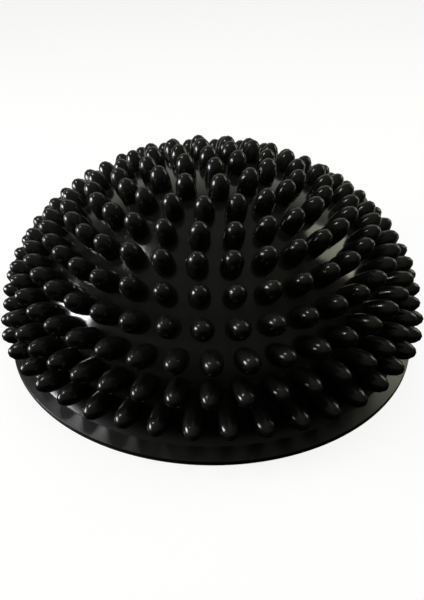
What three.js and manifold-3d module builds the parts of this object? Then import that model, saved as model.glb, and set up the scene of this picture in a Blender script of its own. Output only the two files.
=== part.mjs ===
// A spiked wobble cushion: a hollow soft-PVC dome covered in rows of bullet-shaped nubs, with a thin
// flange round its foot, welded to a base disc that carries an inflation valve and its pull-out plug.
// Millimetres, +Z up. The origin is the centre of the resting face.

import * as THREE from 'three';
import { mergeVertices } from 'three/addons/utils/BufferGeometryUtils.js';
import Module from 'manifold-3d';

const wasm = await Module();
wasm.setup();

// Driving dimensions

const footRadius = 80; // outer edge of the flange and of the base disc
const fitGap = 0.3; // between parts that touch

const lipThickness = 0.6; // edge of the base disc
const lipBevel = 0.2; // of its lower corner
const flangeEdge = 0.8; // thickness of the flange's outer edge
const flangeBevel = 0.3;
const flangeRise = 1.9; // of its sloped top, from the edge to the flare
const flangeInnerRadius = 75.7; // where it meets the flare of the dome's foot
const flareHeight = 3.4;

const domeFootHeight = 6; // height of the widest level of the dome wall
const domeRadius = 73.4;
const domeRise = 59;
const domeWall = 2.7;
const domeSegments = 30;
const innerLevels = 8;

// Rows of nubs, from the foot to the crown: how many, and how far each row is turned from the front,
// in steps of its own spacing.
const nubRows = [
  { count: 47, turn: -0.44 },
  { count: 47, turn: 0.03 },
  { count: 42, turn: 0.08 },
  { count: 39, turn: -0.17 },
  { count: 35, turn: -0.26 },
  { count: 30, turn: -0.33 },
  { count: 24, turn: -0.26 },
  { count: 19, turn: -0.12 },
  { count: 12, turn: 0.32 },
  { count: 6, turn: 0.2 },
  { count: 1, turn: 0 },
];
const firstRowAngle = 6.5; // degrees up the dome
const nubLength = 9.8; // out of the dome wall
const nubRadius = 3.4;
const nubSides = 4;
const nubRoot = 1; // how far a nub is sunk into the wall
const crownShrink = 0.84; // length of the upper rows' nubs against the foot's
const shrinkFromRow = 2;
const shrinkToRow = 6;
// A nub's outline: radius and height as shares of its radius and length.
const nubOutline = [
  [0.97, 0],
  [0.97, 0.55],
];

const baseThickness = 2.1;
const facetInset = Math.cos(Math.PI / domeSegments); // of a flat of the dome against its corners
const seatRadius = (domeRadius - domeWall) * facetInset - fitGap; // step inside the dome's foot
const restWidth = 15; // ring that the cushion stands on
const recessDepth = 1.8; // of the underside inside that ring
const gripRings = [22, 36, 50]; // radii of the moulded rings in the recess
const gripRingWidth = 3;
const gripRingDepth = 1.1;
const dimpleRadius = 9.5;
const dimpleDepth = 0.7;
const discSegments = 64;

const valveSegments = 32;
const bossRadius = 8.6;
const bossBore = 5;
const bossHeight = 11;
const bossTaper = 0.6;
const bossRimWidth = 3; // of the rim round its foot
const bossRimHeight = 1.2;
const coreRadius = bossBore - fitGap;
const coreBore = 2.5;
const coreStandout = 1.2; // above the boss
const plugPinRadius = coreBore - fitGap;
const plugPinTip = 1.5;
const plugPinLength = 9;
const plugPinStraight = 0.7; // share of the pin before its taper
const plugHeadRadius = 6;
const plugHeadThickness = 1.3;
const plugHeadBevel = 0.4;
const plugClearance = 0.6; // head above the floor

// Materials

function plastic(name, color, roughness) {
  return new THREE.MeshStandardMaterial({ name, color, roughness, metalness: 0 });
}

const glossBlack = plastic('gloss_black_pvc', 0x121210, 0.22);
const satinBlack = plastic('satin_black_pvc', 0x161615, 0.42);
const blackRubber = plastic('black_rubber', 0x1b1b1b, 0.65);
const greyPlug = plastic('grey_polythene', 0x3a3a3a, 0.5);

// Geometry helpers

const upToZ = new THREE.Matrix4().makeRotationX(Math.PI / 2);

// A ring of revolution about Z from [radius, height] points. The points run anticlockwise, seen with
// the axis on the left, so that the faces point outwards.
function turned(points, segments) {
  const outline = points.map(([radius, height]) => new THREE.Vector2(radius, height));
  return new THREE.LatheGeometry(outline, segments).applyMatrix4(upToZ);
}

function closed(points) {
  return [...points, points[0]];
}

// Shared corners are merged, and the slivers left at the poles are dropped.
function solidOf(geometry) {
  const bare = geometry.clone();
  bare.deleteAttribute('normal');
  bare.deleteAttribute('uv');
  const merged = mergeVertices(bare, 1e-4);
  const corners = merged.index.array;
  const kept = [];
  for (let i = 0; i < corners.length; i += 3) {
    const [a, b, c] = corners.subarray(i, i + 3);
    if (a !== b && b !== c && c !== a) {
      kept.push(a, b, c);
    }
  }
  const vertProperties = new Float32Array(merged.attributes.position.array);
  const triVerts = new Uint32Array(kept);
  return new wasm.Manifold(new wasm.Mesh({ numProp: 3, vertProperties, triVerts }));
}

function geometryOf(solid) {
  const mesh = solid.getMesh();
  const geometry = new THREE.BufferGeometry();
  geometry.setAttribute('position', new THREE.BufferAttribute(mesh.vertProperties, 3));
  geometry.setIndex(new THREE.BufferAttribute(mesh.triVerts, 1));
  geometry.computeVertexNormals();
  return geometry;
}

function part(name, geometry, material) {
  const mesh = new THREE.Mesh(geometry, material);
  mesh.name = name;
  return mesh;
}

// Dome shell

// The rows of nubs are evenly spaced up the dome. Row 0.5 is halfway between the first two.
function rowAngle(row) {
  const share = row / (nubRows.length - 1);
  return THREE.MathUtils.degToRad(THREE.MathUtils.lerp(firstRowAngle, 90, share));
}

// An arc of the dome's section, as [radius, height] points, through the angles given, to the crown.
function domeArc(radius, rise, angles) {
  const points = angles.map((angle) => [
    radius * Math.cos(angle),
    domeFootHeight + rise * Math.sin(angle),
  ]);
  return [...points, [0, domeFootHeight + rise]];
}

function domeBody() {
  const under = lipThickness + fitGap;
  const edgeTop = under + flangeEdge;
  const flangeTop = edgeTop + flangeRise;
  const wallStart = Math.asin((flangeTop + flareHeight - domeFootHeight) / domeRise);
  const betweenRows = nubRows.slice(1).map((_, row) => rowAngle(row + 0.5));
  const innerAngles = Array.from({ length: innerLevels }, (_, i) => (i / innerLevels) * (Math.PI / 2));
  const outerArc = domeArc(domeRadius, domeRise, [wallStart, ...betweenRows]);
  const innerArc = domeArc(domeRadius - domeWall, domeRise - domeWall, innerAngles).reverse();
  const flange = [
    [domeRadius - domeWall, under],
    [footRadius, under],
    [footRadius, edgeTop - flangeBevel],
    [footRadius - flangeBevel, edgeTop],
    [flangeInnerRadius, flangeTop],
  ];
  return turned([...innerArc, ...flange, ...outerArc], domeSegments);
}

// A faceted bullet standing on its base at the origin, along +Z, with the section area of a round one.
function nubGeometry(radius, length) {
  const corner = radius * Math.sqrt(Math.PI / ((nubSides / 2) * Math.sin((2 * Math.PI) / nubSides)));
  const rings = nubOutline.map(([r, h]) => [r * corner, h * length]);
  const root = [rings[0][0], -nubRoot];
  return turned([[0, -nubRoot], root, ...rings.slice(1), [0, length]], nubSides);
}

// Places a nub on the dome wall, square to it, at an angle up the dome and a bearing from the front.
function nubPlace(angle, bearing) {
  const slope = Math.atan2(Math.sin(angle) / domeRise, Math.cos(angle) / domeRadius);
  const away = new THREE.Vector3(Math.sin(bearing), -Math.cos(bearing), 0);
  const up = new THREE.Vector3(0, 0, 1);
  const along = new THREE.Vector3().crossVectors(up, away);
  const out = away.clone().multiplyScalar(Math.cos(slope)).addScaledVector(up, Math.sin(slope));
  const rising = new THREE.Vector3().crossVectors(out, along);
  const place = away.clone().multiplyScalar(domeRadius * Math.cos(angle));
  place.z = domeFootHeight + domeRise * Math.sin(angle);
  return new THREE.Matrix4().makeBasis(along, rising, out).setPosition(place);
}

function nubSolids() {
  const solids = [];
  nubRows.forEach(({ count, turn }, row) => {
    const shrink = THREE.MathUtils.clamp((row - shrinkFromRow) / (shrinkToRow - shrinkFromRow), 0, 1);
    const shape = nubGeometry(nubRadius, nubLength * THREE.MathUtils.lerp(1, crownShrink, shrink));
    for (let i = 0; i < count; i += 1) {
      const bearing = ((i + turn) / count) * 2 * Math.PI;
      solids.push(solidOf(shape.clone().applyMatrix4(nubPlace(rowAngle(row), bearing))));
    }
  });
  return solids;
}

function domeShell() {
  const solid = wasm.Manifold.union([solidOf(domeBody()), ...nubSolids()]);
  return part('dome_shell', geometryOf(solid), glossBlack);
}

// Base disc

function baseDisc() {
  const recessRadius = footRadius - restWidth;
  const recessTop = recessDepth + baseThickness;
  const dimpleRoof = recessDepth + dimpleDepth;
  const hole = plugPinRadius + fitGap;
  const underside = [
    [hole, dimpleRoof],
    [dimpleRadius - dimpleDepth, dimpleRoof],
    [dimpleRadius, recessDepth],
  ];
  for (const radius of gripRings) {
    const half = gripRingWidth / 2;
    underside.push(
      [radius - half, recessDepth],
      [radius - half / 2, recessDepth - gripRingDepth],
      [radius + half / 2, recessDepth - gripRingDepth],
      [radius + half, recessDepth],
    );
  }
  underside.push(
    [recessRadius - recessDepth, recessDepth],
    [recessRadius, 0],
    [footRadius - lipBevel, 0],
    [footRadius, lipBevel],
  );
  const topside = [
    [footRadius, lipThickness],
    [seatRadius, lipThickness],
    [seatRadius, baseThickness],
    [recessRadius, baseThickness],
    [recessRadius - recessDepth, recessTop],
    [hole, recessTop],
  ];
  return part('base_disc', turned(closed([...underside, ...topside]), discSegments), satinBlack);
}

// Valve

const bossFoot = recessDepth + baseThickness + fitGap;

function valveBoss() {
  const top = bossFoot + bossHeight;
  const outline = [
    [bossBore, bossFoot],
    [bossRadius + bossRimWidth, bossFoot],
    [bossRadius + bossRimWidth, bossFoot + bossRimHeight],
    [bossRadius, bossFoot + 2 * bossRimHeight],
    [bossRadius - bossTaper, top],
    [bossBore, top],
  ];
  return part('valve_boss', turned(closed(outline), valveSegments), satinBlack);
}

function valveCore() {
  const top = bossFoot + bossHeight + coreStandout;
  const outline = [
    [coreBore, bossFoot],
    [coreRadius, bossFoot],
    [coreRadius, top],
    [coreBore, top],
  ];
  return part('valve_core', turned(closed(outline), valveSegments), blackRubber);
}

function valvePlug() {
  const headTop = plugClearance + plugHeadThickness;
  const outline = [
    [0, plugClearance],
    [plugHeadRadius - plugHeadBevel, plugClearance],
    [plugHeadRadius, plugClearance + plugHeadBevel],
    [plugHeadRadius, headTop],
    [plugPinRadius, headTop],
    [plugPinRadius, headTop + plugPinLength * plugPinStraight],
    [plugPinTip, headTop + plugPinLength],
    [0, headTop + plugPinLength],
  ];
  return part('valve_plug', turned(outline, valveSegments), greyPlug);
}

const wobbleCushion = new THREE.Group();
wobbleCushion.name = 'wobble_cushion';
wobbleCushion.add(domeShell(), baseDisc(), valveBoss(), valveCore(), valvePlug());

export default wobbleCushion;
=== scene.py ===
import math

import bmesh
import bpy
from mathutils import Matrix, Vector


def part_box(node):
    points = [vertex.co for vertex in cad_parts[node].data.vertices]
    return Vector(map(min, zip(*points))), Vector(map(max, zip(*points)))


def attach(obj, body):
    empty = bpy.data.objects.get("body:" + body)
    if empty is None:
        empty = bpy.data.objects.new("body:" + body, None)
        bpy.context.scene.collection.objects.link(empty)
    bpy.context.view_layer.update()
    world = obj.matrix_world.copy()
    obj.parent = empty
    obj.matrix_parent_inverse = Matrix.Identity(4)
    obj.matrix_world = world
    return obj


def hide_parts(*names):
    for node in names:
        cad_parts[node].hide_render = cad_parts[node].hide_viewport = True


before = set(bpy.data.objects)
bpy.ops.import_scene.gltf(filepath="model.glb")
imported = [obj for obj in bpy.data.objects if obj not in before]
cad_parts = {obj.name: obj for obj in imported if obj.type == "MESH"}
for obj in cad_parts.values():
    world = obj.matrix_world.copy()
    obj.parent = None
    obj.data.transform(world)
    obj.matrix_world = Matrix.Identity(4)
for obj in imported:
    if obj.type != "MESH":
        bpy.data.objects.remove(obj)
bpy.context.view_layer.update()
scene = bpy.context.scene
mm = 0.001
weldDistance = 1e-6  # in metres; points closer than this are one
noiseLow, noiseHigh = 0.3, 0.7  # a noise seldom leaves this range


def hexColour(text):
    # sRGB hex to linear, with alpha
    channels = [int(text[i:i + 2], 16) / 255 for i in (1, 3, 5)]
    linear = [c / 12.92 if c <= 0.04045 else ((c + 0.055) / 1.055) ** 2.4 for c in channels]
    return (*linear, 1.0)


def addNode(tree, kind, inputs=None, **settings):
    # a value in inputs is a number, colour or name, or the output socket to link from
    node = tree.nodes.new(kind)
    for name, value in settings.items():
        setattr(node, name, value)
    for socket, value in (inputs or {}).items():
        if isinstance(value, bpy.types.NodeSocket):
            tree.links.new(value, node.inputs[socket])
        else:
            node.inputs[socket].default_value = value
    return node


def linkObject(name, data):
    # a new object at the origin, in the scene
    made = bpy.data.objects.new(name, data)
    scene.collection.objects.link(made)
    return made


def filleted(corners, steps=5):
    # corners are (radius, height, fillet) in mm; each corner with a fillet becomes an arc
    points = []
    for i, (r, z, fillet) in enumerate(corners):
        here = Vector((r, z))
        if fillet == 0:
            points.append(here)
            continue
        before = Vector(corners[i - 1][:2]) - here
        after = Vector(corners[(i + 1) % len(corners)][:2]) - here
        half = before.angle(after) / 2
        reach = fillet / math.tan(half)
        start = here + before.normalized() * reach
        end = here + after.normalized() * reach
        inward = (before.normalized() + after.normalized()).normalized()
        centre = here + inward * (fillet / math.sin(half))
        for k in range(steps + 1):
            spoke = (start - centre).slerp(end - centre, k / steps)
            points.append(centre + spoke.normalized() * fillet)
    return [(p.x, p.y) for p in points]


def spunMesh(name, profile, steps, closeLoop, crispAngle=180):
    # turns a profile of (radius, height) in mm round Z into a closed mesh in metres, smooth but for
    # the corners sharper than crispAngle
    shell = bmesh.new()
    verts = [shell.verts.new((r * mm, 0, z * mm)) for r, z in profile]
    edges = [shell.edges.new(pair) for pair in zip(verts, verts[1:])]
    if closeLoop:
        edges.append(shell.edges.new((verts[-1], verts[0])))
    bmesh.ops.spin(
        shell, geom=verts + edges, cent=(0, 0, 0), axis=(0, 0, 1), dvec=(0, 0, 0),
        angle=2 * math.pi, steps=steps, use_merge=True,
    )
    bmesh.ops.remove_doubles(shell, verts=shell.verts, dist=weldDistance)
    bmesh.ops.dissolve_degenerate(shell, edges=shell.edges, dist=weldDistance / 10)
    bmesh.ops.recalc_face_normals(shell, faces=shell.faces)
    mesh = bpy.data.meshes.new(name)
    shell.to_mesh(mesh)
    shell.free()
    mesh.polygons.foreach_set("use_smooth", [True] * len(mesh.polygons))
    if crispAngle < 180:
        mesh.set_sharp_from_angle(angle=math.radians(crispAngle))
    return mesh


def startTree(name, sockets):
    # a node group from mesh to mesh with named inputs, and the outputs of its input node
    tree = bpy.data.node_groups.new(name, "GeometryNodeTree")
    for label, kind in {"Geometry": "Geometry", **sockets}.items():
        tree.interface.new_socket(label, in_out="INPUT", socket_type="NodeSocket" + kind)
    tree.interface.new_socket("Geometry", in_out="OUTPUT", socket_type="NodeSocketGeometry")
    return tree, addNode(tree, "NodeGroupInput").outputs


def finishTree(tree, given, placed):
    # adds the placed instances to the mesh, as real faces in the same material
    joined = addNode(tree, "GeometryNodeJoinGeometry")
    tree.links.new(given["Geometry"], joined.inputs[0])
    tree.links.new(placed, joined.inputs[0])
    real = addNode(tree, "GeometryNodeRealizeInstances", {"Geometry": joined.outputs[0]}).outputs[0]
    finished = addNode(tree, "GeometryNodeSetMaterial", {"Geometry": real, "Material": given["Material"]})
    addNode(tree, "NodeGroupOutput", {0: finished.outputs[0]})


def setInputs(modifier, values):
    # a modifier's inputs go by the socket's identifier
    sockets = {item.name: item.identifier for item in modifier.node_group.interface.items_tree
               if item.item_type == "SOCKET" and item.in_out == "INPUT"}
    for name, value in values.items():
        modifier[sockets[name]] = value


def bakedPiece(name, source):
    # the evaluated object as a plain mesh, with its modifiers gone
    graph = bpy.context.evaluated_depsgraph_get()
    mesh = bpy.data.meshes.new_from_object(source.evaluated_get(graph), depsgraph=graph)
    mesh.name = name
    source.modifiers.clear()
    old = source.data
    source.data = mesh
    bpy.data.meshes.remove(old)
    source.name = name
    return source


# angles in degrees, lengths in metres, lens and sensor in mm
cameraValues = {
    "distance": 0.224,
    "targetHeight": 0.024,
    "elevation": 29.33,
    "pan": -2.25,
    "tilt": 0.85,
    "roll": -0.15,
    "lens": 33.26,
    "sensor": 36,
    "shiftX": 0.0421,
    "shiftY": -0.0735,
    "clipStart": 0.01,
}


def makeCamera(v):
    camera = linkObject("camera", bpy.data.cameras.new("camera"))
    camera.data.lens = v["lens"]
    camera.data.sensor_width = v["sensor"]
    camera.data.shift_x = v["shiftX"]
    camera.data.shift_y = v["shiftY"]
    camera.data.clip_start = v["clipStart"]
    rise = math.radians(v["elevation"])
    place = Vector((0, -math.cos(rise), math.sin(rise))) * v["distance"]
    place.z += v["targetHeight"]
    turn = (
        Matrix.Rotation(math.pi / 2 - rise, 4, "X")
        @ Matrix.Rotation(-math.radians(v["pan"]), 4, "Y")
        @ Matrix.Rotation(math.radians(v["tilt"]), 4, "X")
        @ Matrix.Rotation(math.radians(v["roll"]), 4, "Z")
    )
    camera.matrix_world = Matrix.Translation(place) @ turn
    scene.camera = camera


makeCamera(cameraValues)
print("camera made")


studioValues = {
    "floorSize": 8.0,
    "floorSeen": "#fafaf9",
    "glow": 0.93,
    "floorShade": "#6a6a6a",
    # the floor as the object mirrors it: start and full in metres, and the tone, each over the last
    # painted shade: the floor in front as the object mirrors it, dark as if the camera shaded it
    "floorNearPaintedShade": "#1a1a1a",
    "nearPlace": (0.0, -0.28, 0.0),
    "floorLayers": {
        "around": (0.24, 0.42, "#7c7b76"),
        "behind": (0.02, 0.12, "#f0f0ec"),
    },
    "roomSeen": "#ffffff",
    # the room as it lights and is mirrored: the direction's axis, start, full and tone,
    # each over the last
    "roomSide": "#42423e",
    "roomLayers": {
        "front": ("Y", -0.25, -0.85, "#5f5f58"),
        "back": ("Y", 0.5, 0.9, "#d2d2ca"),
        "low": ("Z", 0.4, -0.05, "#222220"),
        "overhead": ("Z", 0.70, 0.86, "#6a6a63"),
    },
}

# place and aim in metres, size in metres, power in watts
lightValues = {
    "keySoftbox": {"place": (-0.42, 0.02, 0.62), "aim": (0, 0, 0.03), "size": (0.09, 0.12),
                   "power": 0.8, "tint": "#ffffff"},
    "leftWindow": {"place": (-0.68, -0.07, 0.165), "aim": (0, 0, 0.03), "size": (0.28, 0.20),
                   "power": 4.0, "tint": "#fbfdff"},
    "rightPanel": {"place": (0.64, 0.20, 0.25), "aim": (0, 0, 0.03), "size": (0.14, 0.10),
                   "power": 0.12, "tint": "#fff3df"},
    "rightWindow": {"place": (0.55, 0.26, 0.35), "aim": (0, 0, 0.03), "size": (0.26, 0.30),
                    "power": 0.55, "tint": "#fbffe4"},
    "topFill": {"place": (0.1, 0.3, 1.3), "aim": (0, 0, 0), "size": (0.9, 0.9),
                "power": 6.5, "tint": "#ffffff", "mirrored": False},
}


def layeredTone(tree, tone, layers):
    # lays each tone over the last, as far as its value is on its way from start to full
    for value, start, full, over in layers:
        share = addNode(tree, "ShaderNodeMapRange", {"Value": value, "From Min": start, "From Max": full},
                        interpolation_type="SMOOTHSTEP").outputs[0]
        # a colour mix has its share at input 0, its colours at 6 and 7, and its result at output 2
        tone = addNode(tree, "ShaderNodeMix", {0: share, 6: tone, 7: hexColour(over)},
                       data_type="RGBA").outputs[2]
    return tone


def makeFloor(v):
    mesh = bpy.data.meshes.new("floor")
    half = v["floorSize"] / 2
    corners = [(-half, -half, 0), (half, -half, 0), (half, half, 0), (-half, half, 0)]
    mesh.from_pydata(corners, [], [(0, 1, 2, 3)])
    floor = linkObject("floor", mesh)
    material = bpy.data.materials.new("paintedFloor")
    material.use_nodes = True
    tree = material.node_tree
    tree.nodes.clear()
    # what the camera sees: a bright floor with a soft shadow
    shade = addNode(tree, "ShaderNodeBsdfDiffuse", {"Color": hexColour(v["floorShade"])}).outputs[0]
    glow = addNode(tree, "ShaderNodeEmission",
                   {"Color": hexColour(v["floorSeen"]), "Strength": v["glow"]}).outputs[0]
    seen = addNode(tree, "ShaderNodeAddShader", {0: shade, 1: glow}).outputs[0]
    # what the object mirrors: painted shade in front, where the camera would shade the floor, and pale
    # behind
    place = addNode(tree, "ShaderNodeTexCoord").outputs["Object"]
    away = addNode(tree, "ShaderNodeVectorMath", {0: place, 1: v["nearPlace"]},
                   operation="DISTANCE").outputs["Value"]
    depth = addNode(tree, "ShaderNodeSeparateXYZ", {0: place}).outputs["Y"]
    layers = v["floorLayers"]
    tone = layeredTone(tree, hexColour(v["floorNearPaintedShade"]),
                       [(away, *layers["around"]), (depth, *layers["behind"])])
    mirrored = addNode(tree, "ShaderNodeBsdfDiffuse", {"Color": tone}).outputs[0]
    path = addNode(tree, "ShaderNodeLightPath")
    mixed = addNode(tree, "ShaderNodeMixShader",
                    {0: path.outputs["Is Camera Ray"], 1: mirrored, 2: seen})
    addNode(tree, "ShaderNodeOutputMaterial", {"Surface": mixed.outputs[0]})
    mesh.materials.append(material)


def makeRoom(v):
    world = bpy.data.worlds.new("room")
    world.use_nodes = True
    scene.world = world
    tree = world.node_tree
    tree.nodes.clear()
    direction = addNode(tree, "ShaderNodeTexCoord").outputs["Generated"]
    split = addNode(tree, "ShaderNodeSeparateXYZ", {0: direction}).outputs
    tone = layeredTone(tree, hexColour(v["roomSide"]),
                       [(split[axis], *layer) for axis, *layer in v["roomLayers"].values()])
    lit = addNode(tree, "ShaderNodeBackground", {"Color": tone}).outputs[0]
    seen = addNode(tree, "ShaderNodeBackground", {"Color": hexColour(v["roomSeen"])}).outputs[0]
    path = addNode(tree, "ShaderNodeLightPath")
    mixed = addNode(tree, "ShaderNodeMixShader", {0: path.outputs["Is Camera Ray"], 1: lit, 2: seen})
    addNode(tree, "ShaderNodeOutputWorld", {"Surface": mixed.outputs[0]})


def makeLight(name, v):
    light = bpy.data.lights.new(name, "AREA")
    light.shape = "RECTANGLE"
    light.size, light.size_y = v["size"]
    light.energy = v["power"]
    light.color = hexColour(v["tint"])[:3]
    lamp = linkObject(name, light)
    toAim = Vector(v["aim"]) - Vector(v["place"])
    turn = toAim.to_track_quat("-Z", "Y").to_matrix().to_4x4()
    lamp.matrix_world = Matrix.Translation(v["place"]) @ turn
    lamp.visible_camera = False
    lamp.visible_glossy = v.get("mirrored", True)


makeFloor(studioValues)
makeRoom(studioValues)
for lightName, values in lightValues.items():
    makeLight(lightName, values)
scene.view_settings.view_transform = "Standard"
print("studio made")


def startMaterial(name, v):
    # a plastic surface, the object's own coordinates, and the noises that the values ask for
    material = bpy.data.materials.new(name)
    material.use_nodes = True
    tree = material.node_tree
    tree.nodes.clear()
    shader = addNode(tree, "ShaderNodeBsdfPrincipled", {"IOR": v["ior"]})
    addNode(tree, "ShaderNodeOutputMaterial", {"Surface": shader.outputs[0]})
    place = addNode(tree, "ShaderNodeTexCoord").outputs["Object"]
    noises = {}
    for kind, (grain, detail, seed) in v["noises"].items():
        noises[kind] = addNode(tree, "ShaderNodeTexNoise",
                               {"Vector": place, "W": seed, "Scale": 1 / (grain * mm), "Detail": detail},
                               noise_dimensions="4D").outputs["Fac"]
    return material, tree, shader, place, noises


glossPvcValues = {
    "colour": "#161614",
    "dustColour": "#232320",
    "dustFrom": 0.5,
    "dustFull": 0.8,
    "dustMost": 0.5,
    "ior": 1.53,
    "polished": 0.10,
    "hazy": 0.17,
    "nubFoot": 0.2,  # share of a nub's height
    "nubRough": 0.08,
    "rubbedFrom": 0.82,  # share of a nub's height
    "rubbedTip": 0.06,
    "flangeRough": 0.2,
    "flangeTop": 3.8,  # mm
    "peelDepth": 0.012,  # mm
    "sinkDepth": 0.16,  # mm
    # grain in mm, detail and seed
    "noises": {
        "dust": (17.0, 4.0, 2.0),
        "haze": (9.0, 3.0, 0.0),
        "sinks": (13.0, 2.0, 5.0),
        "peel": (1.3, 2.0, 7.0),
    },
}


def glossPvc(v):
    # plasticised PVC slush-moulded in a polished tool: a deep wet black whose reflections waver
    material, tree, shader, place, noises = startMaterial("glossMouldedPvc", v)
    # a thin bloom of dust and plasticiser, a shade lighter than the plastic
    dust = addNode(tree, "ShaderNodeMapRange",
                   {"Value": noises["dust"], "From Min": v["dustFrom"], "From Max": v["dustFull"],
                    "To Max": v["dustMost"]}).outputs[0]
    colour = addNode(tree, "ShaderNodeMix",
                     {0: dust, 6: hexColour(v["colour"]), 7: hexColour(v["dustColour"])},
                     data_type="RGBA").outputs[2]
    tree.links.new(colour, shader.inputs["Base Color"])
    # the wall has a cloudy gloss; the nubs, deep in the tool, are duller, more so at their rubbed tips,
    # and so is the flange, which is held for welding
    tip = addNode(tree, "ShaderNodeAttribute", attribute_name="nubHeight").outputs["Fac"]
    height = addNode(tree, "ShaderNodeSeparateXYZ", {0: place}).outputs["Z"]
    flangeTop = v["flangeTop"] * mm
    rough = 0.0
    for value, start, end, atStart, atEnd in [
        (noises["haze"], noiseLow, noiseHigh, v["polished"], v["hazy"]),
        (tip, v["rubbedFrom"], 1.0, 0.0, v["rubbedTip"]),
        (tip, 0.0, v["nubFoot"], 0.0, v["nubRough"]),
        (height, flangeTop, 2 * flangeTop, v["flangeRough"], 0.0),
    ]:
        extra = addNode(tree, "ShaderNodeMapRange",
                        {"Value": value, "From Min": start, "From Max": end,
                         "To Min": atStart, "To Max": atEnd}).outputs[0]
        rough = addNode(tree, "ShaderNodeMath", {0: rough, 1: extra}, operation="ADD").outputs[0]
    tree.links.new(rough, shader.inputs["Roughness"])
    # orange peel over the slow sinks of a soft wall
    sinks = addNode(tree, "ShaderNodeBump",
                    {"Height": noises["sinks"], "Strength": 1.0, "Distance": v["sinkDepth"] * mm})
    peel = addNode(tree, "ShaderNodeBump",
                   {"Height": noises["peel"], "Strength": 1.0, "Distance": v["peelDepth"] * mm,
                    "Normal": sinks.outputs[0]})
    tree.links.new(peel.outputs[0], shader.inputs["Normal"])
    return material


satinPvcValues = {
    "colour": "#131312",
    "scuffColour": "#34332f",
    "scuffHeight": 0.5,  # mm
    "scuffFrom": 0.42,
    "scuffFull": 0.7,
    "scuffMost": 0.7,
    "ior": 1.53,
    "smooth": 0.34,
    "cloudy": 0.5,
    "worn": 0.6,
    "grainDepth": 0.05,  # mm
    # grain in mm, detail and seed
    "noises": {
        "scuffs": (6.0, 6.0, 1.0),
        "clouds": (4.0, 4.0, 3.0),
        "etching": (0.9, 2.0, 4.0),
    },
}


def satinPvc(v):
    # the same PVC against an etched tool face: satin, and scuffed grey where it stands
    material, tree, shader, place, noises = startMaterial("satinMouldedPvc", v)
    height = addNode(tree, "ShaderNodeSeparateXYZ", {0: place}).outputs["Z"]
    nearFloor = addNode(tree, "ShaderNodeMapRange",
                        {"Value": height, "From Max": v["scuffHeight"] * mm, "To Min": 1.0,
                         "To Max": 0.0}).outputs[0]
    scuffs = addNode(tree, "ShaderNodeMapRange",
                     {"Value": noises["scuffs"], "From Min": v["scuffFrom"], "From Max": v["scuffFull"],
                      "To Max": v["scuffMost"]}).outputs[0]
    worn = addNode(tree, "ShaderNodeMath", {0: nearFloor, 1: scuffs}, operation="MULTIPLY").outputs[0]
    colour = addNode(tree, "ShaderNodeMix",
                     {0: worn, 6: hexColour(v["colour"]), 7: hexColour(v["scuffColour"])},
                     data_type="RGBA").outputs[2]
    tree.links.new(colour, shader.inputs["Base Color"])
    cloudy = addNode(tree, "ShaderNodeMapRange",
                     {"Value": noises["clouds"], "From Min": noiseLow, "From Max": noiseHigh,
                      "To Min": v["smooth"], "To Max": v["cloudy"]}).outputs[0]
    rough = addNode(tree, "ShaderNodeMath", {0: cloudy, 1: worn}, operation="MAXIMUM").outputs[0]
    limited = addNode(tree, "ShaderNodeMath", {0: rough, 1: v["worn"]}, operation="MINIMUM").outputs[0]
    tree.links.new(limited, shader.inputs["Roughness"])
    etched = addNode(tree, "ShaderNodeBump",
                     {"Height": noises["etching"], "Strength": 1.0, "Distance": v["grainDepth"] * mm})
    tree.links.new(etched.outputs[0], shader.inputs["Normal"])
    return material


rubberValues = {
    "colour": "#181818",
    "ior": 1.52,
    "smooth": 0.64,
    "rough": 0.78,
    "grainDepth": 0.04,  # mm
    # grain in mm, detail and seed
    "noises": {"clouds": (2.5, 4.0, 0.0), "grain": (0.5, 2.0, 4.0)},
}

polytheneValues = {
    "colour": "#3b3b39",
    "ior": 1.51,
    "smooth": 0.37,
    "rough": 0.51,
    "grainDepth": 0.02,  # mm
    # grain in mm, detail and seed
    "noises": {"clouds": (2.5, 4.0, 0.0), "grain": (0.7, 2.0, 4.0)},
}


def dullMoulding(name, v):
    # a dull moulded surface with a fine even grain
    material, tree, shader, _, noises = startMaterial(name, v)
    shader.inputs["Base Color"].default_value = hexColour(v["colour"])
    rough = addNode(tree, "ShaderNodeMapRange",
                    {"Value": noises["clouds"], "From Min": noiseLow, "From Max": noiseHigh,
                     "To Min": v["smooth"], "To Max": v["rough"]}).outputs[0]
    tree.links.new(rough, shader.inputs["Roughness"])
    grain = addNode(tree, "ShaderNodeBump",
                    {"Height": noises["grain"], "Strength": 1.0, "Distance": v["grainDepth"] * mm})
    tree.links.new(grain.outputs[0], shader.inputs["Normal"])
    return material


domePlastic = glossPvc(glossPvcValues)
basePlastic = satinPvc(satinPvcValues)
valveRubber = dullMoulding("mouldedNitrileRubber", rubberValues)  # dull black, faintly grained
plugPlastic = dullMoulding("mouldedPolythene", polytheneValues)  # waxy dark grey
print("materials made")


# the dome is one moulding of wall, flange and nubs; its sizes are in mm
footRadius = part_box("base_disc")[1].x / mm
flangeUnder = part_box("dome_shell")[0].z / mm

domeValues = {
    "wallRadius": 73.4,
    "rise": 59.0,
    "centreHeight": 6.0,
    "wall": 2.7,
    "underFillet": 0.1,
    "flangeEdge": 0.8,
    "flangeBevel": 0.25,
    "flangeRise": 1.9,
    "flareRadius": 75.7,
    "flareFillet": 1.4,
    "flareHeight": 3.4,
    "steps": 180,
    "levels": 30,
}

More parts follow.
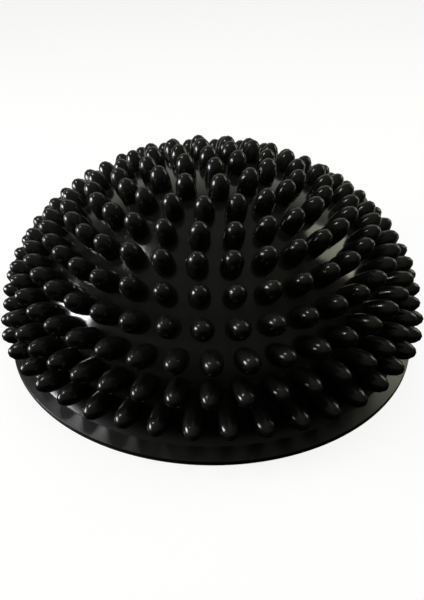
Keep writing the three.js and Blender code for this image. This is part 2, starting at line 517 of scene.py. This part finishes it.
nubValues = {
    "firstAngle": 6.5,
    "radius": 3.6,
    "length": 9.8,
    "sink": 0.8,
    "crownShrink": 0.84,
    "shrinkFromRow": 2,
    "shrinkToRow": 6,
    "sizeJitter": 0.025,
    "leanJitter": 0.03,
    "seed": 11,
    "sides": 12,
    "rings": 7,
    # shares of the height and of the radius, from the sunk root to the tip
    "outline": [(0.0, 1.22), (0.06, 1.1), (0.12, 1.0), (0.3, 1.0), (0.5, 0.97), (0.66, 0.89), (0.8, 0.74),
                (0.9, 0.54), (0.965, 0.33), (1.0, 0.0)],
}

# rows from the foot to the crown: how many nubs, and the turn from the front in steps of their spacing
nubRows = [
    (47, -0.44), (47, 0.03), (42, 0.08), (39, -0.17), (35, -0.26), (30, -0.33),
    (24, -0.26), (19, -0.12), (12, 0.32), (6, 0.2), (1, 0.0),
]


def domeProfile(v):
    # section with both ends on the axis: inner wall down from the crown, round the flange,
    # outer wall back up
    edgeTop = flangeUnder + v["flangeEdge"]
    top = edgeTop + v["flangeRise"]
    foot = math.asin((top + v["flareHeight"] - v["centreHeight"]) / v["rise"])
    outer, inner = [], []
    for i in range(v["levels"] + 1):
        up = foot + (math.pi / 2 - foot) * i / v["levels"]
        r = 0 if i == v["levels"] else v["wallRadius"] * math.cos(up)
        outer.append((r, v["centreHeight"] + v["rise"] * math.sin(up)))
        up = math.pi / 2 * i / v["levels"]
        r = 0 if i == v["levels"] else (v["wallRadius"] - v["wall"]) * math.cos(up)
        inner.append((r, v["centreHeight"] + (v["rise"] - v["wall"]) * math.sin(up)))
    flange = filleted([
        (*inner[0], 0),
        (inner[0][0], flangeUnder, 0),
        (footRadius, flangeUnder, v["underFillet"]),
        (footRadius, edgeTop, v["flangeBevel"]),
        (v["flareRadius"], top, v["flareFillet"]),
        (*outer[0], 0),
    ])
    return inner[:0:-1] + flange + outer[1:]


def nubPoints(dome, v):
    # one vertex for each nub on the dome wall, with its outward direction and its share of the length
    places, aways, lengths = [], [], []
    last = len(nubRows) - 1
    for row, (count, turn) in enumerate(nubRows):
        up = math.radians(v["firstAngle"] + (90 - v["firstAngle"]) * row / last)
        slope = math.atan2(math.sin(up) / dome["rise"], math.cos(up) / dome["wallRadius"])
        shrink = min(max((row - v["shrinkFromRow"]) / (v["shrinkToRow"] - v["shrinkFromRow"]), 0), 1)
        for i in range(count):
            bearing = 2 * math.pi * (i + turn) / count
            across = Vector((math.sin(bearing), -math.cos(bearing), 0))
            place = across * dome["wallRadius"] * math.cos(up)
            place.z = dome["centreHeight"] + dome["rise"] * math.sin(up)
            places.append(place * mm)
            aways.append(across * math.cos(slope) + Vector((0, 0, math.sin(slope))))
            lengths.append(1 + (v["crownShrink"] - 1) * shrink)
    mesh = bpy.data.meshes.new("nubPoints")
    mesh.from_pydata(places, [], [])
    away = mesh.attributes.new("nubAway", "FLOAT_VECTOR", "POINT")
    away.data.foreach_set("vector", [part for direction in aways for part in direction])
    tall = mesh.attributes.new("nubTall", "FLOAT", "POINT")
    tall.data.foreach_set("value", lengths)
    return linkObject("nubPoints", mesh)


def nubTree(v):
    tree, given = startTree("nubField", {
        "Nub Points": "Object",
        "Nub Radius": "Float",
        "Nub Length": "Float",
        "Sink": "Float",
        "Size Jitter": "Float",
        "Lean Jitter": "Float",
        "Seed": "Int",
        "Material": "Material",
    })

    # the nub: a sphere whose rings are set out along Z and drawn in to the outline
    ball = addNode(tree, "GeometryNodeMeshUVSphere",
                   {"Segments": v["sides"], "Rings": v["rings"], "Radius": 1.0}).outputs["Mesh"]
    place = addNode(tree, "GeometryNodeInputPosition").outputs[0]
    split = addNode(tree, "ShaderNodeSeparateXYZ", {0: place}).outputs
    share = addNode(tree, "ShaderNodeMapRange", {"Value": split["Z"], "From Min": -1.0}).outputs[0]
    outline = addNode(tree, "ShaderNodeFloatCurve", {"Value": share})
    curve = outline.mapping.curves[0]
    for x, y in v["outline"][1:-1]:
        curve.points.new(x, y)
    curve.points[0].location = v["outline"][0]
    curve.points[len(v["outline"]) - 1].location = v["outline"][-1]
    outline.mapping.update()
    flat = addNode(tree, "ShaderNodeCombineXYZ", {"X": split["X"], "Y": split["Y"]}).outputs[0]
    spoke = addNode(tree, "ShaderNodeVectorMath", {0: flat}, operation="NORMALIZE").outputs[0]
    width = addNode(tree, "ShaderNodeMath", {0: outline.outputs[0], 1: given["Nub Radius"]},
                    operation="MULTIPLY").outputs[0]
    ring = addNode(tree, "ShaderNodeVectorMath", {0: spoke, "Scale": width}, operation="SCALE").outputs[0]
    whole = addNode(tree, "ShaderNodeMath", {0: given["Nub Length"], 1: given["Sink"]},
                    operation="ADD").outputs[0]
    raised = addNode(tree, "ShaderNodeMath", {0: share, 1: whole}, operation="MULTIPLY").outputs[0]
    height = addNode(tree, "ShaderNodeMath", {0: raised, 1: given["Sink"]},
                     operation="SUBTRACT").outputs[0]
    upward = addNode(tree, "ShaderNodeCombineXYZ", {"Z": height}).outputs[0]
    shaped = addNode(tree, "ShaderNodeVectorMath", {0: ring, 1: upward}, operation="ADD").outputs[0]
    # the height is stored for the material while the mesh is still the sphere that it is read from
    marked = addNode(tree, "GeometryNodeStoreNamedAttribute",
                     {"Geometry": ball, "Name": "nubHeight", "Value": share},
                     data_type="FLOAT", domain="POINT").outputs[0]
    drawn = addNode(tree, "GeometryNodeSetPosition", {"Geometry": marked, "Position": shaped}).outputs[0]
    nub = addNode(tree, "GeometryNodeSetShadeSmooth", {"Geometry": drawn}).outputs[0]

    # one nub on each point, a little uneven as soft mouldings are
    points = addNode(tree, "GeometryNodeObjectInfo", {"Object": given["Nub Points"]}).outputs["Geometry"]
    away = addNode(tree, "GeometryNodeInputNamedAttribute", {"Name": "nubAway"},
                   data_type="FLOAT_VECTOR").outputs[0]
    lengthShare = addNode(tree, "GeometryNodeInputNamedAttribute", {"Name": "nubTall"},
                          data_type="FLOAT").outputs[0]
    lean = addNode(tree, "FunctionNodeRandomValue",
                   {0: (-1, -1, -1), 1: (1, 1, 1), "Seed": given["Seed"]},
                   data_type="FLOAT_VECTOR").outputs[0]
    tipped = addNode(tree, "ShaderNodeVectorMath", {0: lean, "Scale": given["Lean Jitter"]},
                     operation="SCALE").outputs[0]
    aim = addNode(tree, "ShaderNodeVectorMath", {0: away, 1: tipped}, operation="ADD").outputs[0]
    turned = addNode(tree, "FunctionNodeAlignRotationToVector", {"Vector": aim}, axis="Z").outputs[0]
    uneven = addNode(tree, "FunctionNodeRandomValue", {2: -1.0, 3: 1.0, "Seed": given["Seed"]},
                     data_type="FLOAT").outputs[1]
    change = addNode(tree, "ShaderNodeMath", {0: uneven, 1: given["Size Jitter"], 2: 1.0},
                     operation="MULTIPLY_ADD").outputs[0]
    tall = addNode(tree, "ShaderNodeMath", {0: lengthShare, 1: change}, operation="MULTIPLY").outputs[0]
    scale = addNode(tree, "ShaderNodeCombineXYZ", {"X": change, "Y": change, "Z": tall}).outputs[0]
    placed = addNode(tree, "GeometryNodeInstanceOnPoints",
                     {"Points": points, "Instance": nub, "Rotation": turned, "Scale": scale}).outputs[0]
    finishTree(tree, given, placed)
    return tree


def makeDome(dome, nub):
    mesh = spunMesh("domeBody", domeProfile(dome), dome["steps"], closeLoop=False)
    body = linkObject("domeBody", mesh)
    points = nubPoints(dome, nub)
    field = body.modifiers.new("nubField", "NODES")
    field.node_group = nubTree(nub)
    setInputs(field, {
        "Nub Points": points,
        "Nub Radius": nub["radius"] * mm,
        "Nub Length": nub["length"] * mm,
        "Sink": nub["sink"] * mm,
        "Size Jitter": nub["sizeJitter"],
        "Lean Jitter": nub["leanJitter"],
        "Seed": nub["seed"],
        "Material": domePlastic,
    })
    made = bakedPiece("spikedDome", body)
    bpy.data.objects.remove(points)
    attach(made, "cushion")
    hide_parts("dome_shell")
    return made


spikedDome = makeDome(domeValues, nubValues)
print("dome made:", len(spikedDome.data.polygons), "faces")


# the base disc is welded under the flange; its sizes are in mm
baseValues = {
    "lip": 0.6,
    "thickness": 2.1,
    "seatRadius": 69.9,
    "restWidth": 15.0,
    "recess": 1.8,
    "ringRadii": [22, 36, 50],
    "ringWidth": 3.0,
    "ringDepth": 1.1,
    "dimpleRadius": 9.5,
    "dimpleDepth": 0.7,
    "hole": 2.5,
    "holeFillet": 0.2,
    "softFillet": 0.3,
    "recessFillet": 0.8,
    "edgeFillet": 0.35,
    "lipFillet": 0.12,
    "steps": 160,
    "crispAngle": 40,
}


def baseProfile(v):
    # closed section: the underside from the hole outwards, and back along the inside
    soft, recess = v["softFillet"], v["recess"]
    recessRadius = footRadius - v["restWidth"]
    roof = recess + v["dimpleDepth"]
    section = [
        (v["hole"], roof, v["holeFillet"]),
        (v["dimpleRadius"] - v["dimpleDepth"], roof, soft),
        (v["dimpleRadius"], recess, soft),
    ]
    half = v["ringWidth"] / 2
    for radius in v["ringRadii"]:
        section += [
            (radius - half, recess, soft),
            (radius - half / 2, recess - v["ringDepth"], soft),
            (radius + half / 2, recess - v["ringDepth"], soft),
            (radius + half, recess, soft),
        ]
    section += [
        (recessRadius - recess, recess, v["recessFillet"]),
        (recessRadius, 0, v["recessFillet"]),
        (footRadius, 0, v["edgeFillet"]),
        (footRadius, v["lip"], v["lipFillet"]),
        (v["seatRadius"], v["lip"], 0),
        (v["seatRadius"], v["thickness"], soft),
        (recessRadius, v["thickness"], 0),
        (recessRadius - recess, recess + v["thickness"], 0),
        (v["hole"], recess + v["thickness"], 0),
    ]
    return filleted(section, steps=3)


def makeBase(v):
    mesh = spunMesh("groundDisc", baseProfile(v), v["steps"], closeLoop=True, crispAngle=v["crispAngle"])
    mesh.materials.append(basePlastic)
    made = linkObject("groundDisc", mesh)
    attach(made, "cushion")
    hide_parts("base_disc")


makeBase(baseValues)
print("base disc made")


# the plug is detailed here, in mm; the valve's seat and core keep their CAD shapes
plugLow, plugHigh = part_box("valve_plug")
plugValues = {
    "headRadius": 6.0,
    "headInset": 0.25,
    "headThickness": 1.3,
    "headFillet": 0.3,
    "rimFillet": 0.35,
    "dish": 0.45,
    "dishShare": 0.55,
    "rimShare": 0.68,
    "pinRadius": 2.2,
    "neckFillet": 0.15,
    "straightShare": 0.7,
    "pinFillet": 0.8,
    "tipRadius": 1.5,
    "tipFillet": 0.5,
    "ribs": 20,
    "ribRadius": 0.28,
    "ribShare": 0.4,
    "beadSides": 8,
    "beadRings": 6,
    "steps": 64,
    "crispAngle": 40,
}


def plugProfile(v):
    # from the middle of the dished head, out and up round its rim, to the tip of the pin
    low, high = plugLow.z / mm, plugHigh.z / mm
    headTop = low + v["headThickness"]
    rim = v["headRadius"] - v["headInset"]
    return filleted([
        (0, low + v["dish"], 0),
        (v["headRadius"] * v["dishShare"], low + v["dish"], v["headFillet"]),
        (v["headRadius"] * v["rimShare"], low, v["headFillet"]),
        (rim, low, v["rimFillet"]),
        (rim, headTop, v["headFillet"]),
        (v["pinRadius"], headTop, v["neckFillet"]),
        (v["pinRadius"], headTop + (high - headTop) * v["straightShare"], v["pinFillet"]),
        (v["tipRadius"], high, v["tipFillet"]),
        (0, high, 0),
    ], steps=4)


def ribTree(v):
    tree, given = startTree("gripRibs", {
        "Ribs": "Int",
        "Head Radius": "Float",
        "Rib Radius": "Float",
        "Rib Height": "Float",
        "Middle": "Float",
        "Material": "Material",
    })
    circle = addNode(tree, "GeometryNodeMeshCircle",
                     {"Vertices": given["Ribs"], "Radius": given["Head Radius"]}).outputs[0]
    lift = addNode(tree, "ShaderNodeCombineXYZ", {"Z": given["Middle"]}).outputs[0]
    lifted = addNode(tree, "GeometryNodeSetPosition", {"Geometry": circle, "Offset": lift}).outputs[0]
    # a rib is a small ball stretched along the rim's height
    bead = addNode(tree, "GeometryNodeMeshUVSphere",
                   {"Segments": v["beadSides"], "Rings": v["beadRings"],
                    "Radius": given["Rib Radius"]}).outputs[0]
    ratio = addNode(tree, "ShaderNodeMath", {0: given["Rib Height"], 1: given["Rib Radius"]},
                    operation="DIVIDE").outputs[0]
    stretch = addNode(tree, "ShaderNodeCombineXYZ", {"X": 1.0, "Y": 1.0, "Z": ratio}).outputs[0]
    placed = addNode(tree, "GeometryNodeInstanceOnPoints",
                     {"Points": lifted, "Instance": bead, "Scale": stretch}).outputs[0]
    finishTree(tree, given, placed)
    return tree


def makePlug(v):
    mesh = spunMesh("plugBody", plugProfile(v), v["steps"], closeLoop=False, crispAngle=v["crispAngle"])
    body = linkObject("plugBody", mesh)
    ribs = body.modifiers.new("gripRibs", "NODES")
    ribs.node_group = ribTree(v)
    setInputs(ribs, {
        "Ribs": v["ribs"],
        "Head Radius": (v["headRadius"] - v["headInset"]) * mm,
        "Rib Radius": v["ribRadius"] * mm,
        "Rib Height": v["headThickness"] * v["ribShare"] * mm,
        "Middle": plugLow.z + v["headThickness"] / 2 * mm,
        "Material": plugPlastic,
    })
    made = bakedPiece("pullPlug", body)
    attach(made, "plug")
    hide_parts("valve_plug")


makePlug(plugValues)
for nodeName, finish in [("valve_boss", basePlastic), ("valve_core", valveRubber)]:
    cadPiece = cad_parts[nodeName]
    cadPiece.data.materials.clear()
    cadPiece.data.materials.append(finish)
print("valve made")
